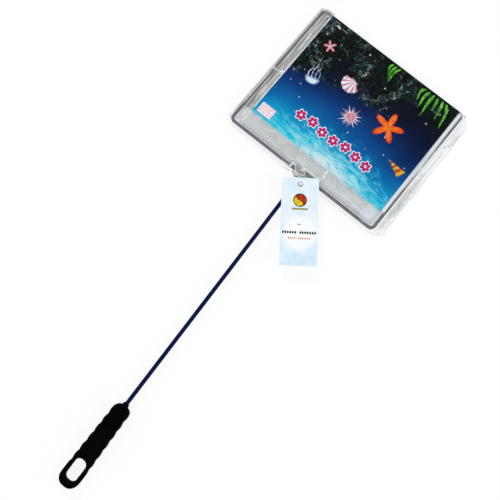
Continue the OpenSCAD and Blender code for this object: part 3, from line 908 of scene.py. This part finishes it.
def flap_lift(places):
    """Ripples of the loose flap, which run along it, and a little life in the welds."""
    out = places[:, 0] - HALF_W - BAG_ROOM
    weld = 0.05*np.abs(roughness_of(places, 3, 3, 5))
    along = np.abs(roughness_of(places, 2.1, 16, 4)) + 0.6*np.abs(roughness_of(places, 1.5, 5, 8))
    calm = 0.4 + 0.6*window(places[:, 1], BAG_LOW.y, 0, 8)
    flap = np.clip(out/2, 0, 1)*(1.1*calm*along + 0.25*np.abs(roughness_of(places, 6, 6, 6)))
    return np.where(out > 0, flap, weld)


def cover_strips(places, veil):
    """Milky film beside the card and along the near side, streaked along the rim. The streaks are haze
    with painted highlights and painted shade of the film's folds.
    """
    x, y = places.T
    left = window(x, -HALF_W + 2.6, CARD_LOW.x - 0.5, 0.6)*window(y, -44, 63, 12)
    streaks = roughness_of(places, 1, 17, 3)
    veil.cover(left*(0.45 + 0.4*np.abs(roughness_of(places, 0.8, 24, 5))), 0.46 + 0.6*streaks)
    outside = window(x, -HALF_W - 2.8, -HALF_W + 0.4, 0.4)*window(y, -48, 63, 10)
    veil.cover(outside*(0.5 + 0.3*np.abs(streaks)), 0.58)
    # Beside the card's right edge the film is near white: a painted highlight over its haze
    right = window(x, CARD_HIGH.x + 0.6, HALF_W - 2.4, 0.6)*window(y, -46, 62, 2)
    veil.cover(right*0.85, 0.94 + 0.2*streaks)
    near = window(y, -60.8, CARD_LOW.y - 0.3, 0.5)*window(x, -72, 72, 1)
    # Next to the card's near edge the veil is paler: painted light that hides the card's shadow on the
    # netting
    beside = np.exp(-np.maximum(CARD_LOW.y - y, 0)/2)
    veil.cover(near*(0.5 + 0.2*beside + 0.2*roughness_of(places, 12, 6, 9)),
               0.74 + 0.12*roughness_of(places, 9, 5, 12))
    surf = window(y, CARD_LOW.y - 0.8, CARD_LOW.y + 0.9, 0.8)*window(x, -64, 66, 3)
    veil.cover(surf*np.clip(0.1 + 1.4*roughness_of(places, 4.5, 3, 18), 0, 0.7), 0.8)
    for middle, half, share, tone in PATCHES:
        far = np.sum(((places - middle)/half)**2, axis=1)
        beside = np.clip(1 - far, 0, 1)*np.clip(card_gap_of(places)/0.8, 0, 1)
        veil.cover(share*beside*(1 + 0.5*roughness_of(places, 4, 7, 15)), tone)


def crush_mouth(places, veil):
    """Crushed film with its folds, where the mouth is gathered; the facets' tones paint them lit or
    shaded. Gives its height.
    """
    x, y = places.T
    crushed = window(x, *CRUSHED_X, 0.8)*window(y, BAG_LOW.y, CRUSHED_Y, 0.8)
    there = crushed > 0
    rise, tone = facets_of(places[there], 3, 2)[:2]
    height, share, shade = np.zeros((3, len(places)))
    height[there] = 0.5*crushed[there]*np.abs(rise)
    share[there] = crushed[there]*(0.5 + 0.2*(0.5 - tone))
    shade[there] = 0.25 + 0.55*tone
    veil.cover(share, shade)
    return height + cover_mouth(places, veil)


def front_surface(places):
    """Height of the front film over the card and the hem and down to its weld, and its veil."""
    inset = inset_of(places)
    veil = Veil(len(places))
    veil.cover(0.002, 0.6)
    hem_room, card_room, slope = 0.2, 0.28, 0.32
    over_hem = AXIS_Z + HEM_R + hem_room
    sag = np.clip((inset - 2*HEM_R)/5, 0, 1)
    over_card = CARD_HIGH.z + card_room - slope*card_gap_of(places, CARD_PLAY)
    height = smooth_max(over_hem - sag, over_card)
    loose = np.clip((inset - HEM_R)/3, 0, 1)
    height += 0.12*loose*(1 + roughness_of(places, 26, 16, 1))
    beside = np.clip(card_gap_of(places)/4, 0, 1)
    height += 0.12*loose*beside*np.abs(roughness_of(places, 5, 5, 2))
    cover_strips(places, veil)
    height += cover_folds(places, veil, CREASES)
    height += crush_mouth(places, veil)

    # Down over the hem to the weld, and the flap and the sheet's own edges
    wall_top, steepness = over_hem + 1.4, 10
    share = np.clip((HEM_R - inset)/(BAG_ROOM + HEM_R), 0, 1)
    wall = WELD_Z + (wall_top - WELD_Z)*(1 - share**steepness)**(1/steepness)
    height = np.where(inset < -BAG_ROOM, WELD_Z + flap_lift(places), np.minimum(height, wall))
    veil.cover(0.05*(inset < -BAG_ROOM), 0.7)
    cover_edges(places, veil)
    return height, veil


def back_surface(places):
    """Height and veil of the back film, which lies on the table."""
    height = 0.14 + 0.08*roughness_of(places, 5, 5, 11)
    height += np.where(places[:, 0] > HALF_W + BAG_ROOM, 0.6*flap_lift(places), 0)
    veil = Veil(len(places))
    veil.cover(0.06 + 0.06*np.maximum(roughness_of(places, 7, 7, 12), 0), 0.7)
    cover_edges(places, veil)
    return height, veil


def cover_edges(places, veil):
    """A sheet of film looks grey along its cut edges."""
    x, y = places.T
    outer = np.array([flap_edge(place) for place in y])
    edge = np.maximum.reduce([
        window(x, BAG_LOW.x - 1, BAG_LOW.x + 0.2, 0.35),
        window(x, outer - 0.3, outer + 1, 0.3),
        window(y, BAG_HIGH.y - 0.1, BAG_HIGH.y + 1, 0.35),
    ])
    veil.cover(0.28*edge, 0.4)


def spaced(*stretches):
    """Places along a line. Each stretch is its start, its end and about how far apart."""
    places = []
    for start, end, step in stretches:
        count = max(1, round((end - start)/step))
        places += [start + (end - start)*i/count for i in range(count)]
    return places + [stretches[-1][1]]


def make_film(name, surface, material):
    """A sheet of film over the whole bag, with its flap, its cut corners and its air hole."""
    wall_x, wall_y = HALF_W + BAG_ROOM, HALF_D + BAG_ROOM
    xs = spaced(
        (BAG_LOW.x, -wall_x, 0.3), (-wall_x, -HALF_W + 2, 0.2), (-HALF_W + 2, CARD_LOW.x + 1, 0.35),
        (CARD_LOW.x + 1, GLINTS_X, 0.6), (GLINTS_X, CRUSHED_X[0] - 1, 1.4),
        (CRUSHED_X[0] - 1, CRUSHED_X[1] + 5, 0.45), (CRUSHED_X[1] + 5, CARD_HIGH.x - 1, 1.4),
        (CARD_HIGH.x - 1, HALF_W - 2, 0.4),
        (HALF_W - 2, wall_x, 0.2), (wall_x, BAG_HIGH.x, 0.3),
    )
    ys = spaced(
        (BAG_LOW.y, -HALF_D + 2, 0.2), (-HALF_D + 2, CARD_LOW.y, 0.4), (CARD_LOW.y, GLINTS_Y, 1.4),
        (GLINTS_Y, HALF_D - 2, 0.5), (HALF_D - 2, wall_y, 0.2), (wall_y, BAG_HIGH.y, 0.4),
    )
    places = []
    for y in ys:
        for x in xs:
            edge = min(max((x - wall_x)/FLAP_W, 0), 1)
            places.append((x - edge*(BAG_HIGH.x - flap_edge(y)), y))
    wide = len(xs)
    rim = set()
    faces = []
    for j in range(len(ys) - 1):
        for i in range(wide - 1):
            corners = cell(j, i, wide)
            middle = Vector((places[corners[0]][0] + places[corners[1]][0], ys[j] + ys[j + 1]))/2
            if (middle - VENT).length < VENT_R*0.9:
                rim.update(corners)
            elif in_sheet(middle):
                faces.append(corners)
    used = sorted({i for face in faces for i in face})
    for i in rim.intersection(used):
        places[i] = tuple(VENT + VENT_R*(Vector(places[i]) - VENT).normalized())
    order = {old: new for new, old in enumerate(used)}
    kept = np.array([places[i] for i in used])
    height, veil = surface(kept)
    points = np.column_stack([kept, height])
    piece = make_piece(name, points, [[order[i] for i in face] for face in faces], material)
    veil.store(piece)
    thicken(piece, 0.1)
    return piece


def in_sheet(place):
    """False past the corners that the bag lacks at its near side. Both cuts are slanted lines that
    run past the hoop's own corners."""
    left = place.x + HALF_W + place.y + HALF_D > 1.7
    right = 0.9*(place.x - HALF_W) - 1.1*(place.y + HALF_D) < 2.89
    return left and right


def near_wall(start, end):
    """The film that closes the bag's near side, from one X to another: its points and faces."""
    steps, low, pitch = 9, 0.22, 0.8
    xs = np.linspace(start, end, round((end - start)/pitch))
    tops = front_surface(np.column_stack([xs, np.full(len(xs), BAG_LOW.y)]))[0]
    points = []
    for x, top in zip(xs, tops):
        out = BAG_ROOM*(0.75 + 0.25*rough_at(x, 0, 1, 3))
        for n in range(steps):
            angle = math.pi/2*n/(steps - 1)
            down, across = abs(math.cos(angle))**0.5, math.sin(angle)**0.5
            points.append((x, BAG_LOW.y - out*across, low + max(top - low, 0)*down))
        points.append((x, BAG_LOW.y, low))
    return points, [cell(k, i, steps + 1) for k in range(len(xs) - 1) for i in range(steps)]


def make_gather(material):
    """The mouth of the bag, pleated and drawn in round the handle, past its tie, and the film that
    closes the bag's near side on both sides of it."""
    sides, rings, pleats = 132, 72, 11
    # Along the handle from its foot: where the mouth starts and ends and where it is drawn in.
    # Then how far the tie pinches it, and where past the tie and over what length it flares
    start, end, drawn_in = 0.7, 14, 4.6
    pinched, flare_from, flare_length = 1.6, 1.5, 5
    half_w, half_h, flat_z, neck, tied = 11.2, 3.85, 4.35, 3.3, 3.05
    lowest, no_fold = 0.2, -5
    points, folds = [], []
    for k in range(rings):
        s = start + (end - start)*k/(rings - 1)
        draw = min(s/drawn_in, 1)**0.7
        pinch = math.exp(-((s - TIE_S)/pinched)**2)
        flare = min(max((s - TIE_S - flare_from)/flare_length, 0), 1)
        radius = neck - (neck - tied)*pinch + 0.7*flare
        depth = (0.35 + 0.25*flare)*min(draw + 0.5, 1)*(1 - 0.3*pinch)
        middle = FOOT + s*ALONG
        for i, (cos, sin) in enumerate(ring(sides)):
            phase = 2*math.pi*pleats*i/sides + 1.1*math.sin(0.5*s)
            fold = math.sin(phase + 2*rough_at(cos, sin, 0.1*s, 1))
            fold += 0.5*rough_at(3*cos, 3*sin, 0.35*s, 1)
            corner = (abs(cos)**4 + abs(sin)**4)**-0.25
            flat = Vector((half_w*corner*cos, flat_z - AXIS_Z + half_h*corner*sin))
            flat += 0.5*fold*Vector((cos, sin))
            x, z = flat.lerp((radius + depth*fold)*Vector((cos, sin)), draw)
            place = middle + x*ACROSS
            points.append((place.x, place.y, max(middle.z + z, lowest)))
            folds.append(fold)
    faces = ring_faces(rings, sides)
    for left, right in ((BAG_LOW.x + 4, FOOT.x - half_w), (FOOT.x + half_w, BAG_HIGH.x - 10)):
        wall_points, wall_faces = near_wall(left, right)
        faces += shifted(wall_faces, len(points))
        points += wall_points
        folds += [no_fold]*len(wall_points)
    piece = make_piece("bag_gather", points, faces, material)
    folds = np.array(folds)
    points = np.array(points)
    tone, crest = facets_of(points, 2.4, 5)[1:]
    veil = Veil(len(points))
    cover_mouth(points[:, :2], veil)
    # Painted light and shade of the pleats: each facet a little lighter or darker, and painted
    # highlights on the crests and tops of the folds
    veil.cover(0.5 + 0.1*folds, 0.1 + 0.7*tone)
    veil.cover(0.5*np.maximum(crest*(folds > no_fold), np.clip(folds, 0, 1)**4), 0.85)
    veil.store(piece)
    thicken(piece, 0.12)
    place_piece(piece, "bag", "film", "bag_mouth")


def make_bag():
    clear = film_finish()
    place_piece(make_film("bag_front", front_surface, clear), "bag", "film", "bag_front_film")
    place_piece(make_film("bag_back", back_surface, clear), "bag", "film", "bag_back_film")
    make_gather(clear)


# The card's and the tag's print

# Thicknesses of plates of ink: the thicker ones show over the thinner ones
INK_1, INK_2, INK_3 = 0.02, 0.03, 0.04


def turned(points, x, y, turn):
    """Points turned about the origin and moved to a place."""
    cos, sin = math.cos(turn), math.sin(turn)
    return [(x + cos*a - sin*b, y + sin*a + cos*b) for a, b in points]


def round_outline(x, y, radius, count=48):
    return [(x + radius*cos, y + radius*sin) for cos, sin in ring(count)]


def bar_outline(x0, y0, x1, y1):
    return [(x0, y0), (x1, y0), (x1, y1), (x0, y1)]


def lozenge_outline(x, y, half_w, half_h):
    return [(x - half_w, y), (x, y - half_h), (x + half_w, y), (x, y + half_h)]


def petal_outline(x, y, radius, petals, depth_share, turn, sharpness=1):
    """A round outline with petals or arms, as deep as a share of its radius."""
    outline = []
    for i in range(24*petals):
        angle = 2*math.pi*i/(24*petals)
        reach = radius*(1 - depth_share + depth_share*abs(math.cos(petals/2*angle))**sharpness)
        outline.append((reach*math.cos(angle), reach*math.sin(angle)))
    return turned(outline, x, y, turn)


def starfish(x, y, radius, turn, inks):
    """A starfish with dark edges and rows of dots along its arms."""
    edge, skin, dots = inks
    figures = [
        (petal_outline(x, y, radius, 5, 0.68, turn, 2.2), INK_1, edge),
        (petal_outline(x, y, 0.9*radius, 5, 0.7, turn, 2.4), INK_2, skin),
    ]
    for arm in range(5):
        angle = turn + 2*math.pi*arm/5
        for n in range(6):
            reach = radius*(0.1 + 0.13*n)
            size = radius*(0.045 - 0.004*n)
            spot = (x + reach*math.cos(angle), y + reach*math.sin(angle))
            figures.append((round_outline(*spot, size, 12), INK_3, dots))
    return figures


def scallop(x, y, radius, turn, inks, ribs=11):
    """A shell: a fan of ribs that meet at its hinge, in two colours."""
    spread = math.radians(135)
    half = spread/ribs/2
    hinge = [(radius*a, radius*b) for a, b in ((0, -0.3), (0.2, -0.22), (0.2, 0.22), (0, 0.3))]
    figures = [(turned(hinge, x, y, turn), INK_1, inks[0])]
    for n in range(ribs):
        middle = spread*((n + 0.5)/ribs - 0.5)
        long = radius*(1 - 0.3*((2*n + 1)/ribs - 1)**2)
        rib = [(0, 0)]
        for i in range(9):
            angle = middle + half*(i/4 - 1)
            reach = long*(0.93 + 0.07*math.cos(math.pi/2*(i/4 - 1)))
            rib.append((reach*math.cos(angle), reach*math.sin(angle)))
        figures.append((turned(rib, x, y, turn), INK_2, inks[n % 2]))
    return figures


def turret(x, y, length, turn, inks, bands=7):
    """A pointed spiral shell, drawn as slanted bands that shrink towards its tip."""
    figures = []
    for n in range(bands):
        start, end = length*(n/bands)**0.85, length*((n + 1)/bands)**0.85
        wide, narrow = 0.24*length*(1 - start/length), 0.24*length*(1 - end/length)
        band = [(start, -wide), (start + 0.35*wide, wide)]
        band += [(end + 0.35*narrow, narrow + 0.02), (end, -narrow - 0.02)]
        figures.append((turned(band, x, y, turn), INK_1 + 0.001*n, inks[n % 2]))
    return figures


def urchin(x, y, radius, inks, spikes=30):
    """A ball of thin spikes."""
    figures = []
    for n in range(spikes):
        long = radius*(0.78 + 0.22*math.sin(2.4*n))
        spike = [(0, -0.075*radius), (long, 0), (0, 0.075*radius)]
        figures.append((turned(spike, x, y, 2*math.pi*n/spikes), INK_1, inks[n % 2]))
    figures.append((petal_outline(x, y, 0.36*radius, 12, 0.12, 0), INK_2, inks[0]))
    return figures


def jellyfish(x, y, radius, turn, inks, arms=6):
    """A bell with a scalloped rim, and wavy arms."""
    bell = [(radius*math.cos(math.pi*i/30), 0.85*radius*math.sin(math.pi*i/30)) for i in range(31)]
    rim = [(radius*(i/20 - 1), -0.12*radius*abs(math.sin(math.pi*i/8))) for i in range(1, 40)]
    inner = [(0.7*a, 0.7*b + 0.1*radius) for a, b in bell]
    figures = []
    for n in range(arms):
        place = 2*(n + 0.5)/arms - 1
        long, sway = radius*(2.4 - abs(place)), 0.16*radius*(1 - 2*(n % 2))
        arm = blade_outline(0.75*radius*place, 0, long, 0.14*radius, sway, math.pi)
        figures.append((turned(arm, x, y, turn), INK_1, inks[n % 2]))
    figures.append((turned(bell + rim, x, y, turn), INK_2, inks[0]))
    figures.append((turned(inner, x, y, turn), INK_3, inks[1]))
    return figures


def blade_outline(x, y, length, width, sway, turn):
    """A blade of sea grass from its foot to its tip."""
    left, right = [], []
    for i in range(21):
        share = i/20
        middle = sway*math.sin(math.pi*1.5*share)
        half = width/2*(1 - share)**0.6*min(1, 0.5 + 3*share)
        left.append((middle - half, length*share))
        right.append((middle + half, length*share))
    return turned(left + right[::-1], x, y, turn)


def make_card_print():
    """Sea grass, starfish, shells, an urchin, a jellyfish, bubbles and a row of rosettes."""
    orange, coral, green, yellow, magenta, white, red, mist = range(8)
    inks = [
        ink_finish("orange_ink", (0.7, 0.05, 0.005), (0.85, 0.16, 0.02)),
        ink_finish("coral_ink", (0.42, 0.13, 0.18), (0.66, 0.33, 0.4), 1.2),
        ink_finish("green_ink", (0.01, 0.14, 0.005), (0.14, 0.5, 0.05)),
        ink_finish("yellow_ink", (0.4, 0.24, 0.01), (0.75, 0.46, 0.03), 2),
        ink_finish("magenta_ink", (0.42, 0.01, 0.1), (0.55, 0.02, 0.14), 4),
        ink_finish("white_ink", (0.6, 0.66, 0.75), (0.82, 0.84, 0.88), 4),
        ink_finish("red_ink", (0.36, 0.02, 0.008), (0.6, 0.07, 0.02), 2),
        ink_finish("mist_ink", (0.1, 0.22, 0.34), (0.34, 0.5, 0.62), 2),
    ]
    far = CARD_HIGH.y - 2
    figures = starfish(32, 14, 14, 0.4, (red, orange, yellow))
    figures += starfish(-50, 40, 6, 1, (red, coral, white))
    figures += scallop(-14, 29, 13, math.radians(250), (coral, white))
    figures += turret(66, -12, 17, math.radians(165), (yellow, red))
    figures += urchin(2, 1, 11, (coral, white))
    figures += jellyfish(-44, 8, 6.5, math.pi + 0.25, (mist, white))
    for n in range(7):
        x, y = -31 + 11.5*n, -24 + 1.4*math.sin(1.9*n)
        figures.append((petal_outline(x, y, 5.6, 6, 0.34, 0.3*n), INK_2, white))
        figures.append((petal_outline(x, y, 4.7, 6, 0.38, 0.3*n), INK_2 + 0.02, magenta))
        figures.append((round_outline(x, y, 1.2, 16), INK_2 + 0.03, white))
    for n in range(6):
        lean = math.pi + 0.12*(n - 2)
        blade = blade_outline(37 + 4.3*n, far, 13 + 5*(n % 3), 3, 1.8 - 0.6*n, lean)
        figures.append((blade, INK_2 + 0.004*n, green))
    for n in range(3):
        blade = blade_outline(2 + 3.6*n, far, 11 + 3*n, 2.4, 1.2, math.pi - 0.1*n)
        figures.append((blade, INK_2 + 0.004*n, green))
    for n in range(26):
        x, y = 2 + 62*math.sin(2.3*n + 0.4), 22 + 38*math.sin(5.1*n)
        figures.append((round_outline(x, y, 0.22 + 0.12*(n % 4), 14), INK_2, white))
    piece = make_print("card_print", figures, 0.01, lambda x, y, z: (x, y, CARD_HIGH.z + z), inks)
    place_piece(piece, "card", "card")


def make_tag_print():
    """A plain roundel, bars and rows of lozenges where such a tag carries its print."""
    black, yellow, red, olive, grey, orange = range(6)
    inks = [
        ink_finish("tag_black", (0.006, 0.006, 0.006), (0.015, 0.012, 0.012)),
        ink_finish("tag_yellow", (0.62, 0.36, 0.01), (0.85, 0.6, 0.03), 1.5),
        ink_finish("tag_red", (0.3, 0.02, 0.005), (0.5, 0.06, 0.01), 1.5),
        ink_finish("tag_olive", (0.24, 0.19, 0.05), (0.42, 0.34, 0.1), 1.5),
        ink_finish("tag_grey", (0.3, 0.32, 0.42), (0.45, 0.47, 0.55), 1),
        ink_finish("tag_orange", (0.6, 0.12, 0.04), (0.75, 0.24, 0.08), 1),
    ]
    roundel, radius, rim, gap, turn = 13.4, 5.6, 1, 0.3, 0.9
    thin, thick = 0.025, 0.04
    inner = radius - rim
    angles = np.linspace(0.1, math.pi - 0.1, 30)
    half = [(inner*math.cos(a), gap + inner*math.sin(a)) for a in angles]
    half += [(inner*(i/12 - 1), gap + 0.9*math.sin(math.pi*i/12)) for i in range(1, 24)]
    figures = [
        (round_outline(0, roundel, radius), thin, black),
        (turned(half, 0, roundel, turn), thick, yellow),
        (turned(half, 0, roundel, turn + math.pi), thick, red),
        (bar_outline(-6.6, 20, 6.6, 21.5), thin, olive),
        (bar_outline(-1.6, 33, 1.6, 34), thin, grey),
    ]
    for n in (*range(6), *range(7, 14)):
        figures.append((lozenge_outline(2*n - 13, 40.3, 0.95, 1.5), thin, black))
    for n in (*range(4), *range(5, 11)):
        figures.append((lozenge_outline(1.7*n - 8.5, 45, 0.7, 1), thin, orange))

    def on_tag(x, y, z):
        place = POST + x*TAG_X + y*TAG_Y
        return place.x, place.y, TAG_TOP + z

    place_piece(make_print("tag_print", figures, 0.005, on_tag, inks), "tag", "tag")


# The grip

def make_grip():
    """The moulded grip with its edges softened."""
    voxel, softening, passes = 0.5, 0.5, 6
    piece = add_object("grip_rubber", frame["nodes"]["grip"].data.copy())
    remesh = piece.modifiers.new("even_mesh", "REMESH")
    remesh.mode = "VOXEL"
    remesh.voxel_size = voxel*MM
    smooth = piece.modifiers.new("soft_edges", "SMOOTH")
    smooth.factor = softening
    smooth.iterations = passes
    graph = bpy.context.evaluated_depsgraph_get()
    shaped = bpy.data.meshes.new_from_object(piece.evaluated_get(graph))
    piece.modifiers.clear()
    piece.data = shaped
    shaped.name = "grip_rubber"
    shaped.shade_smooth()
    paint(shaped, grip_finish())
    place_piece(piece, "net", "grip", "grip")


def paint(mesh, material):
    mesh.materials.clear()
    mesh.materials.append(material)


def paint_cad_nodes():
    """Gives the CAD's nodes that stay in the scene their finish."""
    pink = (0.12, 0.006, 0.03), (0.2, 0.02, 0.06)
    white = (0.72, 0.72, 0.7), (0.86, 0.86, 0.85)
    finishes = {
        "frame_wire": wire_finish(),
        "handle_sleeve": sleeve_finish(),
        "insert_card": card_finish(),
        "card_label": ruled_finish(),
        "hang_tag": tag_finish(),
        "tag_eyelet": plastic_finish("pink_plastic", *pink),
        "neck_tie": plastic_finish("white_nylon", *white),
    }
    for node, material in finishes.items():
        paint(frame["nodes"][node].data, material)


make_studio()
paint_cad_nodes()
tube = make_tube()
band = make_band()
stitches = make_stitches()
netting = make_netting()
make_bag()
make_card_print()
make_tag_print()
make_grip()
